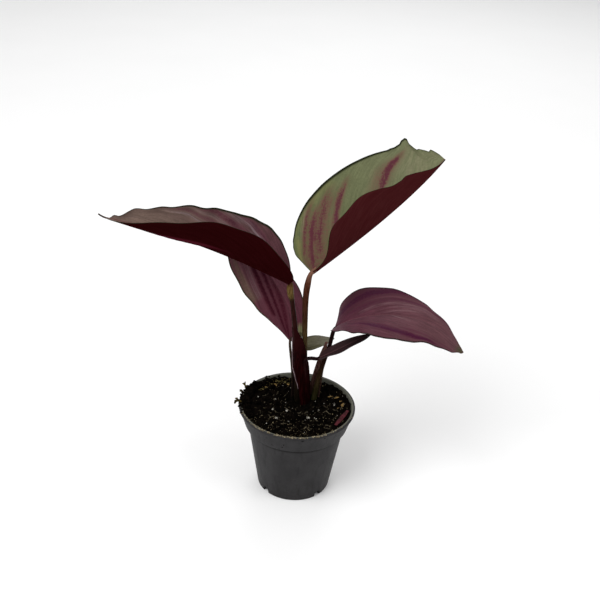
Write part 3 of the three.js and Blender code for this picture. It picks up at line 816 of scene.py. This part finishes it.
# Half 0 is the one on the left of the midrib, looking along it, and half 1 the other. lean is how the side
# veins run, trims are where the margin lies off its plain curve (place, outwards and, where it isn't 0,
# onwards, in mm), and a marking is its half, vein, width and strength, then its span from midrib to
# margin and from base to tip, where these aren't the whole leaf's.
# Of the markings, the pale ones are the leaf's pale veins together with painted sheen and highlights.
LEAVES = {
    "left": dict(
        midrib=((-6, 5, 106), (-26, 4, 116), (-51, 11, 123.5), (-91, 6.5, 133)),
        roll=(-7, -21), width=(27.5, 28.5), shape=((0.52, 1), (0.6, 1.3)),
        fold=((37, 57, 32), (-18, -19, 6)), curl=((8, 21, 3), (61, 55, 60)),
        wave=((0.5, 4, 40), (0.5, 9, 0)), cells=(240, 52), rib=1.0, lean=(0.1, 0.4), stripes=42, pleats=24,
        hook=(0.965, 1.5), sag=(0, 2.8, 2.0, 0.42, 0.98),
        trims={1: ((0.02, 0), (0.1, -0.2), (0.24, 0.9), (0.38, 0.7), (0.47, 0.1), (0.55, 1), (0.6, 0),
                   (0.665, 1.5), (0.735, 0.6), (0.78, 1.3), (0.83, 0.8), (0.875, 1.9), (0.927, -0.7),
                   (0.945, 0), (0.96, -1.2), (1, -0.5)),
               0: ((0.86, 0), (0.95, -1), (1, -0.5))},
        base=(76, 47, 52), tip=(102, 85, 77), contrast=0.22, flame=(84, 48, 56), plum=(62, 28, 38),
        edge=(26, 28, 14), ribs=(96, 62, 62), pale=(132, 116, 122), moss=(70, 70, 44),
        # The underside's colours are darker than the other leaves' as painted shade, where it faces down
        under=(33, 4, 5), under_pale=(38, 6, 8), under_rib_highlight=(66, 18, 28),
        flames=((1, -0.06, 0.05, 0.9, 0.2), (1, 0.12, 0.07, 0.9, 0.2), (1, 0.28, 0.05, 0.6, 0.2),
                (1, 0.45, 0.06, 0.2, 0.3)),
        glints=((1, 0.0, 0.05, 0.6, 0.55, 0.95), (1, 0.36, 0.02, 0.5, 0.5, 0.85),
                (1, 0.75, 0.03, 0.5, 0.5, 0.9), (1, 0.2, 0.02, 0.4, 0.5, 0.9)),
        greens=()),
    "upper": dict(
        midrib=((3.5, 6.5, 111), (14, 16, 115.5), (43, 24.5, 136.5), (60, 32, 158)),
        roll=(2, 8), width=(31.5, 27.5), shape=((0.48, 0.52), (0.56, 0.7)),
        fold=((7, 18, 14), (35, 53, 36)), curl=((16, 33, 28), (16, 31, 17)),
        wave=((0.5, 7, 20), (0.9, 3.5, 120)), peak=(0, 0.915, 5.5, 0.09, 0.03),
        cells=(300, 52), rib=1.0, lean=(0.06, 0.34), stripes=60, pleats=26,
        trims={0: ((0.005, 0), (0.018, 3.0), (0.035, 2.0), (0.07, 0.9), (0.12, 0), (0.84, 0), (0.875, -0.9),
                   (0.9, -1.3), (0.914, -0.8, 0.6), (0.922, 0.9, 2.2), (0.928, -0.8, 0.6), (0.94, -1.3),
                   (0.95, -0.3), (0.965, -0.5), (0.975, -0.9), (0.985, 0.9, 0.5), (1, 1.6)),
               1: ((0.64, 0), (0.71, -1.6), (0.75, -1.1), (0.79, 1.5), (0.83, 0.6), (0.87, -0.7),
                   (0.91, -1.8), (0.95, -1), (1, 0))},
        base=(90, 97, 64), tip=(108, 111, 82), contrast=0.12, flame=(104, 70, 62), plum=(84, 36, 50),
        edge=(26, 30, 14), ribs=(118, 78, 74), pale=(132, 120, 100), moss=(120, 118, 74),
        under=(60, 20, 22), under_pale=(66, 27, 28), under_rib_highlight=(66, 26, 28),
        flames=((0, -0.05, 0.06, 0.9, 0.5, 0.95), (0, 0.05, 0.05, 1.1, 0.1, 0.8),
                (0, 0.13, 0.065, 1.0, 0.2, 0.86), (0, 0.272, 0.035, 1.1, 0.3, 0.82),
                (0, 0.07, 0.2, 0.8, 0.0, 0.82), (0, 0.594, 0.042, 1.3, 0.38, 0.8),
                (0, 0.575, 0.09, 0.65, 0.35, 0.8)),
        glints=((0, -0.1, 0.03, 0.8, 0.8), (0, 0.8, 0.12, 0.4, 0.0, 1.0, 0.8)),
        greens=((0, -0.17, 0.06, 1.0, 0.55, 1.0, 0, 0.12), (0, 0.0, 0.4, 0.6, 0.9, 1.0, 0, 0.5))),
    "back": dict(
        midrib=((-4.8, 15.5, 69), (-1, 22.5, 88), (-24, 27.5, 104), (-33, 37, 119.5)),
        face=(0.3, -1, 0.5), roll=(-6, -3), width=(16, 10), shape=((0.8, 0.6), (0.6, 0.7)),
        fold=((4, 10, 14), (5, 24, 12)), curl=((10, 19, 21), (10, 30, 15)),
        wave=((0.4, 5, 0), (0.4, 4, 90)), cells=(160, 34), rib=0.6, lean=(-1.19, 0), stripes=11, pleats=5,
        trims={1: ((0, 0), (0.06, 1.4), (0.14, 0.5), (0.2, 0))},
        # The tip colour, and the moss colour of the pale lobe at the base, are painted paler than the leaf's
        # own as painted light where shade falls on them
        base=(86, 46, 56), tip=(116, 72, 82), contrast=0.16, flame=(70, 24, 36), plum=(54, 12, 26),
        edge=(52, 54, 32), ribs=(84, 48, 56), pale=(122, 104, 104), moss=(118, 122, 84),
        under=(44, 9, 14), under_pale=(54, 16, 20), under_rib_highlight=(72, 26, 32),
        flames=((0, 0.76, 0.1, 1.1, 0.0, 0.66, 0.05, 0.66), (0, 1.01, 0.12, 1.1, 0.2, 0.8, 0.25, 0.9),
                (0, 0.5, 0.16, 0.9, 0.0, 0.7, 0.0, 0.6), (1, 0.6, 0.12, 0.5, 0.2, 0.8, 0.1, 0.6)),
        glints=((0, 0.885, 0.03, 0.4, 0.2, 0.8, 0.2, 0.8), (0, 1.3, 0.13, 0.7, 0.3, 0.9, 0.45, 0.95)),
        greens=((0, 1.56, 0.24, 0.35, 0.7, 1, 0.45, 0.85), (1, 0.8, 0.6, 0.9, 0.4, 1, 0.02, 0.13))),
    "right": dict(
        midrib=((15.2, 5.3, 82.8), (19, 5, 90.5), (57, 4.5, 102.5), (74.2, -1.6, 78.2)),
        roll=(-16, 5), width=(21, 19), shape=((0.32, 0.86), (0.56, 0.56)),
        fold=((9, 19, -4), (8, 1, 7)), curl=((-2, 0, -12), (6, -17, -13)),
        wave=((0.3, 4, 0), (0.7, 5.5, 60)), cells=(220, 44), rib=0.8, lean=(0.55, 0.3), stripes=20, pleats=9,
        trims={0: ((0.5, 0), (0.6, -0.8), (0.7, -0.7), (0.76, -1.9), (0.85, -1), (0.9, -1.7), (0.95, -1.5),
                   (1, -0.3)),
               1: ((0.25, 0), (0.3, -1.8), (0.35, 0), (0.4, 1.1), (0.46, 0), (0.57, 1.5), (0.65, -0.2),
                   (0.72, -0.7), (0.85, -1), (0.93, 0), (0.975, -1.6), (1, -0.4))},
        base=(76, 37, 50), tip=(88, 57, 62), contrast=0.2, flame=(72, 32, 48), plum=(60, 16, 42),
        edge=(38, 28, 26), ribs=(96, 62, 68), pale=(126, 100, 104), moss=(66, 66, 44),
        under=(44, 9, 16), under_pale=(54, 16, 22), under_rib_highlight=(72, 26, 32),
        flames=((0, -0.24, 0.17, 1.1, 0.3), (0, 0.1, 0.08, 0.7, 0.2), (1, 0.03, 0.1, 1.2, 0.4, 0.95, 0.2),
                (1, 0.22, 0.07, 0.5, 0.5, 0.9, 0.3), (0, 0.3, 0.06, 0.4, 0.4)),
        glints=((1, 0.5, 0.018, 0.7, 0.0, 0.2, 0.45, 0.62), (0, 0.2, 0.035, 0.4, 0.1, 0.7, 0.3),
                (0, 0.33, 0.03, 0.4, 0.3, 0.8), (0, 0.44, 0.04, 0.3, 0.1, 0.8),
                (0, 0.28, 0.12, 0.35, 0.3, 0.8, 0.5, 0.85)),
        greens=((0, 0.6, 0.6, 1.0, 0, 1, 0.95), (1, 0.6, 0.6, 1.0, 0, 1, 0.95))),
    "small_front": dict(
        midrib=((8.6, 2.2, 68.6), (11.5, 2.4, 69.5), (21, -2, 79), (32, 3.2, 82.5)),
        roll=(17, 15), width=(3.1, 7.2), shape=((0.75, 0.75), (0.75, 0.7)),
        fold=((30, 29, 30), (29, 26, 32)), curl=((15, 14, 15), (12, 9, 14)),
        wave=((0.1, 3, 0), (0.25, 3, 0)), cells=(110, 18), rib=0.45, lean=(0.5, 0.2), stripes=9, pleats=5,
        base=(46, 29, 30), tip=(54, 38, 40), contrast=0.2, flame=(44, 24, 30), plum=(34, 14, 20),
        edge=(30, 22, 22), ribs=(90, 62, 64), pale=(96, 72, 76), moss=(60, 56, 44),
        under=(46, 28, 30), under_pale=(54, 36, 38), under_rib_highlight=(92, 66, 70),
        flames=((1, 0.2, 0.08, 0.6, 0.1, 0.9),), glints=(), greens=()),
    "small_back": dict(
        midrib=((0, 14.5, 67), (4.5, 15.5, 69), (9.5, 16.5, 69.5), (16, 18.5, 70)),
        roll=(5, -8), width=(4.7, 5.7), shape=((0.54, 0.74), (0.53, 0.72)),
        fold=((11, 10, 5), (-3, -1, 3)), curl=((1, 0, -4), (-3, -1, 2)),
        wave=((0.1, 2, 0), (0.1, 2, 90)), cells=(80, 14), rib=0.35, lean=(0.8, 0.2), stripes=8, pleats=5,
        base=(96, 92, 70), tip=(108, 104, 88), contrast=0.14, flame=(66, 60, 42), plum=(52, 46, 30),
        edge=(58, 58, 36), ribs=(96, 92, 76), pale=(118, 116, 100), moss=(62, 60, 28),
        under=(60, 50, 40), under_pale=(74, 64, 50), under_rib_highlight=(90, 84, 68),
        flames=(), glints=((1, 0.2, 0.05, 0.5, 0.1, 0.8),),
        greens=((1, 0.1, 0.5, 0.9, 0.6, 1, 0, 0.6),)),
}


def along(values, s):
    """A value that goes through three given ones, at base, middle and tip."""
    base, middle, tip = values
    return base * (1 - s) * (1 - 2 * s) + 4 * middle * s * (1 - s) + tip * s * (2 * s - 1)


def eased(stops, column, s):
    """The value at s between stops, level at each of them. What a stop doesn't give is 0."""
    places = [stop[0] for stop in stops]
    values = np.array([stop[column] if column < len(stop) else 0 for stop in stops], float)
    at = np.clip(np.searchsorted(places, s, side="right") - 1, 0, len(places) - 2)
    t = np.clip((s - np.take(places, at)) / (np.take(places, at + 1) - np.take(places, at)), 0, 1)
    return values[at] + (values[at + 1] - values[at]) * (3 * t * t - 2 * t ** 3)


def half_width(leaf, half, s):
    climb, fall = leaf["shape"][half]
    widest = climb / (climb + fall)
    width = leaf["width"][half] * (s / widest) ** climb * ((1 - s) / (1 - widest)) ** fall
    if leaf.get("peak") and leaf["peak"][0] == half:
        _, place, high, before, after = leaf["peak"]
        away = np.where(s < place, (place - s) / before, (s - place) / after)
        width = width + high * np.maximum(0, 1 - away) ** 1.5
    width = np.maximum(width, NARROWEST_HALF)
    if half in leaf.get("trims", {}):
        width = np.maximum(width + eased(leaf["trims"][half], 1, s), 0.2)
    return width


def leaf_grid(leaf):
    """The points of a leaf's middle surface, row by row from base to tip, from left margin to right."""
    steps, across = leaf["cells"]
    s = np.clip(np.arange(steps + 1) / steps, 1e-3, 1 - 1e-3)
    a, b, c, d = (np.array(p, float) for p in leaf["midrib"])
    t = s[:, None]
    middle = a * (1 - t) ** 3 + 3 * b * t * (1 - t) ** 2 + 3 * c * t ** 2 * (1 - t) + d * t ** 3
    on = unit((b - a) * (1 - t) ** 2 + 2 * (c - b) * t * (1 - t) + (d - c) * t ** 2)
    face = np.array(leaf.get("face", (0, 0, 1)), float)
    face = unit(face - on * (on @ face)[:, None])
    turn = np.radians(leaf["roll"][0] + (leaf["roll"][1] - leaf["roll"][0]) * s)[:, None]
    face = face * np.cos(turn) + np.cross(on, face) * np.sin(turn)
    side = np.cross(on, face)
    if "hook" in leaf:
        start, lift = leaf["hook"]
        middle = middle + face * (lift * np.clip((s - start) / (1 - start), 0, 1) ** 2)[:, None]
    u = (np.arange(across + 1) / across) ** CREEP
    halves = []
    for half, sign in ((0, -1), (1, 1)):
        fold = np.radians(along(leaf["fold"][half], s))
        curl = np.radians(along(leaf["curl"][half], s))
        height, waves, phase = leaf["wave"][half]
        width = half_width(leaf, half, s)
        ripple = height * np.sqrt(np.sin(np.pi * s)) * np.sin(2 * np.pi * waves * s + np.radians(phase))
        onward = np.zeros(len(s))
        if half in leaf.get("trims", {}):
            onward = eased(leaf["trims"][half], 2, s)
        drop = np.zeros(len(s))
        if leaf.get("sag", (None,))[0] == half:
            _, depth, distance, first, last = leaf["sag"]
            drop = depth * np.sin(np.pi * np.clip((s - first) / (last - first), 0, 1))
        at = middle.copy()
        rows = []
        for j in range(1, across + 1):
            cell = (width * (u[j] - u[j - 1]))[:, None]
            lift = (fold + curl * (u[j] + u[j - 1]) / 2)[:, None]
            at = at + side * sign * cell * np.cos(lift) + face * cell * np.sin(lift)
            rim = (fold + curl * u[j])[:, None]
            out = (ripple * u[j] ** 3)[:, None]
            row = at - sign * out * np.sin(rim) * side + out * np.cos(rim) * face
            row = row + on * (onward * u[j] ** 6)[:, None]
            if drop.any():
                belly = drop * np.exp(-((width * u[j] - distance) / distance) ** 2) * min(1, 8 * u[j])
                row = row - face * belly[:, None]
            rows.append(row)
        halves.append(rows)
    points = np.stack([*halves[0][::-1], middle, *halves[1]], axis=1)
    return s, np.concatenate([-u[:0:-1], u]), points


def faded(distance, fade):
    """0 outside and 1 inside, over that width of fading."""
    return np.clip(distance / fade + 0.5, 0, 1)


def leaf_facts(leaf, s, u):
    """What the finishes need to know at each point: place, vein, distance to the midrib and markings."""
    widths = np.stack([half_width(leaf, 0 if x < 0 else 1, s) for x in u], 1)
    out = np.repeat(np.abs(u)[None, :], len(s), 0)
    place = np.repeat(s[:, None], len(u), 1)
    start, bend = leaf["lean"]
    vein = place - start * out - bend * out ** 2
    facts = {"place": place, "out": out, "vein": vein, "from_rib": widths * out}
    for kind in ("flames", "glints", "greens"):
        mask = np.zeros(vein.shape)
        for marking in leaf[kind]:
            half, centre, wide, strength = marking[:4]
            inner, outer, first, last = (*marking[4:], *WHOLE_LEAF[len(marking) - 4:])
            band = np.exp(-((vein - centre) / wide) ** 2)
            band = band * faded(out - inner, MIDRIB_FADE) * faded(outer - out, MARGIN_FADE)
            band = band * faded(place - first, END_FADE) * faded(last - place, END_FADE)
            theirs = (u <= 0) if half == 0 else (u >= 0)
            mask = np.maximum(mask, strength * band * theirs[None, :])
        facts[kind] = mask
    return facts


def told(made, *facts):
    """Outputs that give the facts laid on a leaf's points."""
    return [shade(made, "Attribute", {}, out="Fac", attribute_name=fact) for fact in facts]


def varied(colour, share, depth):
    """The colour made darker or paler by up to that share of itself, along a grain from 0 to 1."""
    darker = shade(colour, "HueSaturation", {"Value": 1 - depth, "Color": colour})
    paler = shade(colour, "HueSaturation", {"Value": 1 + depth, "Color": colour})
    return mixed(share, darker, paler)


def streaks_of(vein, out, place, per_leaf, seed):
    """Grain drawn out along the side veins."""
    feeds = {"X": times(vein, per_leaf), "Y": times(plus(out, place), 3.0), "Z": seed}
    return grain(shade(vein, "CombineXYZ", feeds), 1.0, 5, 0.6)


def leaf_top(name, leaf, seed):
    """The satin upper face: colour, side veins, flames, pale veins, painted sheen, midrib and dark margin.
    """
    top = finish("leaf_top_" + name, roughness=0.42, gloss=0.025)
    facts = told(top, "place", "out", "vein", "from_rib", "flames", "glints", "greens")
    place, out, vein, from_rib, flames, glints, greens = facts
    fine = streaks_of(vein, out, place, leaf["stripes"], seed)
    broad = streaks_of(vein, out, place, leaf["stripes"] * 0.22, seed + 5)
    mottle = grain(in_millimetres(top), 1.1, 6, 0.7)
    ground = mixed(rise(place, 0.1, 0.9), paint(*leaf["base"]), paint(*leaf["tip"]))
    ground = varied(ground, rise(fine, 0.3, 0.7), leaf["contrast"])
    ground = varied(ground, rise(broad, 0.25, 0.75), leaf["contrast"] * 0.6)
    ground = mixed(times(greens, rise(fine, 0.1, 0.6)), ground, paint(*leaf["moss"]))
    ragged = plus(rise(fine, 0.2, 0.8), rise(broad, 0.3, 0.7))
    ragged = plus(ragged, times(rise(mottle, 0.32, 0.68), 1.4))
    ragged = times(flames, plus(times(ragged, 0.38), 0.2))
    ground = mixed(times(rise(ragged, 0.0, 0.8), 0.85), ground, paint(*leaf["flame"]))
    ground = mixed(times(rise(ragged, 0.5, 1.05), 0.9), ground, paint(*leaf["plum"]))
    # Pale veins together with painted sheen and highlights, in one pale colour
    ground = mixed(times(glints, rise(fine, 0.35, 0.65)), ground, paint(*leaf["pale"]))
    ground = mixed(times(fall(from_rib, 0.15, 0.6), 0.7), ground, paint(*leaf["ribs"]))
    ground = mixed(rise(out, 0.945, 0.98), ground, paint(*leaf["edge"]))
    give(top, "Base Color", varied(ground, rise(mottle, 0.3, 0.7), 0.1))
    give(top, "Roughness", ranged(mottle, 0.36, 0.54))
    relief(top, plus(fine, times(mottle, 0.5)), 0.1)
    return top


def leaf_underside(name, leaf, seed):
    """The dull burgundy underside, with a painted highlight on the midrib's flank in its outer half."""
    under = finish("leaf_under_" + name, roughness=0.6, gloss=0.0)
    place, out, vein = told(under, "place", "out", "vein")
    fine = streaks_of(vein, out, place, leaf["stripes"] * 0.7, seed)
    colour = mixed(rise(fine, 0.35, 0.7), paint(*leaf["under"]), paint(*leaf["under_pale"]))
    # A painted highlight where the raised midrib's flank would catch the light
    rib_highlight = times(times(fall(out, 0.16, 0.21), rise(out, 0.11, 0.15)), rise(place, 0.35, 0.6))
    give(under, "Base Color", mixed(rib_highlight, colour, paint(*leaf["under_rib_highlight"])))
    relief(under, fine, 0.1)
    return under


def sheet(front, back):
    """A thin sheet's points and faces: its front, then its back, then the rim between them."""
    rows, columns = front.shape[:2]
    count = rows * columns
    place = np.arange(count).reshape(rows, columns)
    cells = np.stack([place[:-1, :-1], place[:-1, 1:], place[1:, 1:], place[1:, :-1]], -1).reshape(-1, 4)
    faces = cells.tolist() + (cells[:, ::-1] + count).tolist()
    rim = [*place[0, :], *place[1:, -1], *place[-1, -2::-1], *place[-2:0:-1, 0]]
    faces += [(b, a, a + count, b + count) for a, b in zip(rim, rim[1:] + rim[:1])]
    return np.concatenate([front.reshape(-1, 3), back.reshape(-1, 3)]), faces


def blade(name, leaf, finishes, stands_for):
    """A leaf's mesh: its upper face, its underside with the raised midrib, and the margin between them."""
    s, u, middle = leaf_grid(leaf)
    facts = leaf_facts(leaf, s, u)
    up = unit(np.cross(np.gradient(middle, axis=1), np.gradient(middle, axis=0)))
    pleats = PLEAT * np.sin(facts["vein"] * 2 * np.pi * leaf["pleats"]) * np.sin(np.pi * facts["out"]) ** 0.7
    middle = middle + up * (pleats * np.sin(np.pi * s)[:, None] ** 0.5)[..., None]
    thick = BLADE_EDGE + (BLADE_MIDDLE - BLADE_EDGE) * (1 - facts["out"]) ** 1.5
    rib = leaf["rib"] * (1 - 0.75 * s)[:, None]
    ridge = rib * np.exp(-(facts["from_rib"] / (0.75 * rib)) ** 2)
    groove = 0.35 * rib * np.exp(-(facts["from_rib"] / (0.6 * rib)) ** 2)
    upper = middle + up * (thick / 2 - groove)[..., None]
    lower = middle - up * (thick / 2 + ridge)[..., None]
    points, faces = sheet(upper, lower)
    cells = (middle.shape[0] - 1) * (middle.shape[1] - 1)
    which = [0] * cells + [1] * cells + [0] * (len(faces) - 2 * cells)
    made = piece(name, points, faces, finishes, stands_for, which)
    for fact, values in facts.items():
        layer = made.data.attributes.new(fact, "FLOAT", "POINT")
        layer.data.foreach_set("value", np.tile(values.ravel(), 2).astype(np.float32))


for seed, (name, leaf) in enumerate(LEAVES.items()):
    finishes = [leaf_top(name, leaf, 3.0 + seed), leaf_underside(name, leaf, 9.0 + seed)]
    blade("leaf_" + name, leaf, finishes, ["blade_" + name])


# The sheaths. The foot of each strong petiole widens into a thin, papery wing, maroon and lilac, that wraps
# the stems inside it. One stands behind the shoot, one by the right stem, and one closes the front.
PLAIN_LEAF = dict(roll=(0, 0), fold=((0, 0, 0), (0, 0, 0)), wave=((0, 1, 0), (0, 1, 0)), rib=0.1,
                  lean=(0, 0), pleats=0, flames=(), glints=(), greens=())
SHEATHS = {
    "main": dict(
        midrib=((2, 11.1, 36), (1.5, 11.1, 47), (0.6, 10.6, 62), (-0.3, 9.9, 78)), face=(0, -1, 0),
        width=(5, 2), shape=((0.15, 0.6), (0.15, 0.6)), curl=((35, 35, 30), (20, 20, 20)), cells=(70, 10)),
    "right": dict(
        midrib=((7.9, 11.3, 36), (8.5, 10.8, 50), (10.3, 9.3, 62), (12.2, 7.5, 74.5)), face=(0, -1, 0),
        width=(3.2, 2.6), shape=((0.15, 0.6), (0.15, 0.6)), curl=((20, 30, 30), (60, 60, 40)),
        cells=(60, 10)),
}
# Each sheath's colour, its colour where dry, and its colour at the tip
# The main sheath's tip is pale green, painted paler still as painted light where the leaves shade it
SHEATH_COLOURS = {"main": ((22, 14, 12), (50, 38, 32), (136, 130, 98)),
                  "right": ((64, 40, 34), (112, 84, 76), (96, 66, 60)),
                  "wrap": ((15, 2, 2), (40, 6, 8), (34, 8, 9)),
                  "edge": ((104, 84, 88), (164, 146, 150), (150, 130, 134))}
TIP_HEIGHTS = (66, 76)
# Height, middle x and y, half width and depth, and first and last angle of the sheet that closes the front
WRAP = ((37, 1.8, 7.9, 4.3, 4.2, -88, 20), (43, 1.7, 7.9, 4.3, 4.2, -94, 17),
        (48, 1.6, 7.9, 4.3, 4.2, -103, 15), (53, 1.3, 7.9, 4.15, 4.2, -117, 8),
        (57, 1.1, 7.9, 4.0, 4.2, -136, 2), (60, 0.9, 7.8, 4.0, 4.1, -158, -8),
        (64, 0.7, 7.7, 3.9, 3.9, -177, -25), (70, 0.2, 7.6, 3.7, 2.8, -179, -42),
        (76, -0.4, 7.4, 3.4, 2.1, -179, -62), (82, -2.2, 6.9, 2.1, 1.8, -182, -85))
WRAP_HEIGHTS = [row[0] for row in WRAP]
WRAP_ROUNDS = [row[1:] for row in WRAP]
WRAP_ROWS = 90
WRAP_COLUMNS = 60
WRAP_THICK = 0.3
WRAP_RIBS = 34
WRAP_RIB_DEPTH = 0.012
EDGE_HEIGHTS = (50, 76)
EDGE_POINTS = 40
EDGE_THICK = 0.27
EDGE_PROUD = 0.1
EDGE_SWAY = 1.5


def papery(name):
    """A thin, half dry finish with fine lines up it."""
    made = finish("papery_" + name, roughness=0.5, gloss=0.01)
    at = in_millimetres(made)
    lines = grain(drawn_up(at, 0.06), 2.6, 4, 0.6)
    dark, pale, tip = (paint(*c) for c in SHEATH_COLOURS[name])
    colour = mixed(rise(lines, 0.42, 0.72), dark, pale)
    give(made, "Base Color", mixed(rise(height_of(at), *TIP_HEIGHTS), colour, tip))
    relief(made, lines, 0.15)
    return made


for name, sheath in SHEATHS.items():
    made = papery(name)
    blade("sheath_of_" + name, {**PLAIN_LEAF, **sheath}, [made, made], ["sheath_" + name])

rows = []
for z in np.linspace(WRAP_HEIGHTS[0], WRAP_HEIGHTS[-1], WRAP_ROWS):
    x, y, wide, deep, first, last = between(z, WRAP_HEIGHTS, WRAP_ROUNDS)
    angles = np.radians(np.linspace(first, last, WRAP_COLUMNS))
    swell = 1 + WRAP_RIB_DEPTH * np.cos(WRAP_RIBS * angles)
    rim_x = x + wide * swell * np.cos(angles)
    rim_y = y + deep * swell * np.sin(angles)
    rows.append(np.stack([rim_x, rim_y, np.full(WRAP_COLUMNS, z)], 1))
outer = np.array(rows)
inward = unit(np.cross(np.gradient(outer, axis=1), np.gradient(outer, axis=0)))
inward *= np.sign(inward[WRAP_ROWS // 2, WRAP_COLUMNS // 2, 1])
points, faces = sheet(outer, outer + WRAP_THICK * inward)
piece("shoot_wrap", points, faces, [papery("wrap")])

# The pale, dry edge of the sheet
edge_line = []
for z in np.linspace(*EDGE_HEIGHTS, EDGE_POINTS):
    x, y, wide, deep, first, last = between(z, WRAP_HEIGHTS, WRAP_ROUNDS)
    t = math.radians(first + EDGE_SWAY * math.sin(z))
    edge_line.append((x + (wide + EDGE_PROUD) * math.cos(t), y + (deep + EDGE_PROUD) * math.sin(t), z))
threads("shoot_wrap_edge", papery("edge"), [edge_line], [EDGE_THICK])


# A scrap of an old leaf, dried to crimson, lies half sunk in the soil by the front of the rim. It is thin
# like the blades, and hardly curled.
SCRAP = dict(
    midrib=SCRAP_MIDRIB, width=(1.05, 1.0), shape=((0.4, 0.5), (0.4, 0.5)),
    curl=((10, 10, 10), (10, 10, 10)), wave=((0.1, 2, 0), (0.1, 2, 90)), cells=(50, 8))
dried_leaf = tinted("dried_leaf", (41, 15, 15), (78, 28, 35), 0.55, 0.5)
blade("fallen_scrap", {**PLAIN_LEAF, **SCRAP}, [dried_leaf, dried_leaf], ["leaf_scrap"])
